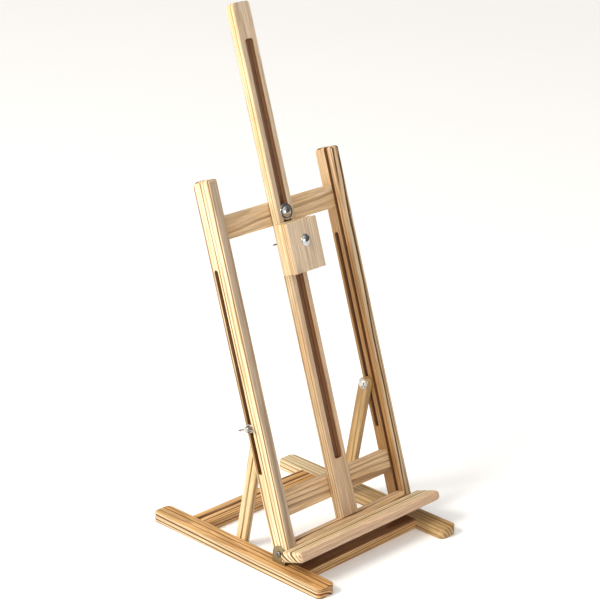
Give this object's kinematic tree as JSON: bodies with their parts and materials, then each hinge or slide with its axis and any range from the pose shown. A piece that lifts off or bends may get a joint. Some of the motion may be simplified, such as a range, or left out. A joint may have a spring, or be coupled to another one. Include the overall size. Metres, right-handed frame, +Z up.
{
  "type": "tabletop easel",
  "caption": "Pine tabletop easel: flat base frame, leaning H-frame on slotted braces, centre mast with canvas ledge and sliding canvas holder, clamped by wing nuts.",
  "frame": {"origin": "middle of the bounding box's footprint, on the surface the rails stand on", "axes": "+Z up, +Y to the back, towards which the frame leans, +X to the right seen from the front"},
  "size_m": [0.294, 0.3348, 0.7317],
  "materials": {
    "pine": "satin",
    "chrome": "polished",
    "nut_metal": "polished",
    "zinc": "satin",
    "screw_steel": "satin"
  },
  "bodies": {
    "base": {"left_rail": "pine", "right_rail": "pine", "front_bar": "pine", "rear_bar": "pine", "base_dowels": "pine", "left_hinge_bracket": "zinc", "right_hinge_bracket": "zinc", "bracket_screws": "screw_steel", "hinge_screws": "screw_steel", "brace_foot_screws": "screw_steel"},
    "frame": {"left_post": "pine", "right_post": "pine", "upper_crossbar": "pine", "lower_crossbar": "pine", "crossbar_dowels": "pine", "mast_clamp_bolt": "chrome", "mast_clamp_front_washer": "chrome", "mast_clamp_back_washer": "chrome"},
    "clamp_nut": {"mast_clamp_wing_nut": "nut_metal"},
    "mast": {"mast": "pine", "ledge_board": "pine", "ledge_cleat": "pine", "ledge_screws": "screw_steel", "mast_screws": "screw_steel"},
    "holder": {"canvas_holder": "pine", "holder_bolt": "chrome", "holder_front_washer": "chrome", "holder_back_washer": "chrome"},
    "holder_nut": {"holder_wing_nut": "nut_metal"},
    "left_brace": {"left_brace": "pine", "left_brace_bolt": "chrome", "left_brace_washer": "chrome"},
    "right_brace": {"right_brace": "pine", "right_brace_bolt": "chrome", "right_brace_washer": "chrome"},
    "left_slot": {"left_slot_stud": "chrome", "left_slot_washer": "chrome"},
    "right_slot": {"right_slot_stud": "chrome", "right_slot_washer": "chrome"},
    "left_nut": {"left_brace_wing_nut": "nut_metal"},
    "right_nut": {"right_brace_wing_nut": "nut_metal"}
  },
  "joints": [
    {"name": "frame_tilt", "type": "hinge", "parent": "base", "child": "frame", "pos_m": [0, -0.07792, 0.02977], "axis": [-1, 0, 0], "range_deg": [-10, 35]},
    {"name": "left_brace_swing", "type": "hinge", "parent": "base", "child": "left_brace", "pos_m": [-0.1087, 0.01162, 0.0095], "axis": [-1, 0, 0], "range_deg": [-11.89, 41.37]},
    {"name": "right_brace_swing", "type": "hinge", "parent": "base", "child": "right_brace", "pos_m": [0.1087, 0.01162, 0.0095], "axis": [-1, 0, 0], "range_deg": [-11.89, 41.37]},
    {"name": "left_slot_slide", "type": "slide", "parent": "frame", "child": "left_slot", "axis": [0, 0.342, 0.9397], "range_m": [-0.01733, 0.06039]},
    {"name": "right_slot_slide", "type": "slide", "parent": "frame", "child": "right_slot", "axis": [0, 0.342, 0.9397], "range_m": [-0.01733, 0.06039]},
    {"name": "left_nut_spin", "type": "hinge", "parent": "left_slot", "child": "left_nut", "pos_m": [-0.133, -0.01362, 0.19473], "axis": [-1, 0, 0], "continuous": true},
    {"name": "right_nut_spin", "type": "hinge", "parent": "right_slot", "child": "right_nut", "pos_m": [0.133, -0.01362, 0.19473], "axis": [1, 0, 0], "continuous": true},
    {"name": "mast_slide", "type": "slide", "parent": "frame", "child": "mast", "axis": [0, 0.342, 0.9397], "range_m": [0, 0.19]},
    {"name": "clamp_nut_spin", "type": "hinge", "parent": "frame", "child": "clamp_nut", "pos_m": [0, 0.08769, 0.44678], "axis": [0, 0.9397, -0.342], "continuous": true},
    {"name": "holder_slide", "type": "slide", "parent": "frame", "child": "holder", "axis": [0, 0.342, 0.9397], "range_m": [-0.1, 0]},
    {"name": "holder_nut_spin", "type": "hinge", "parent": "holder", "child": "holder_nut", "pos_m": [0, 0.05906, 0.41197], "axis": [0, 0.9397, -0.342], "continuous": true}
  ],
  "couplings": [
    {"joint": "left_brace_swing", "follows": "frame_tilt", "ratio": 1.179},
    {"joint": "right_brace_swing", "follows": "frame_tilt", "ratio": 1.179},
    {"joint": "left_slot_slide", "follows": "frame_tilt", "m_per_rad": 0.0987},
    {"joint": "right_slot_slide", "follows": "frame_tilt", "m_per_rad": 0.0987}
  ]
}
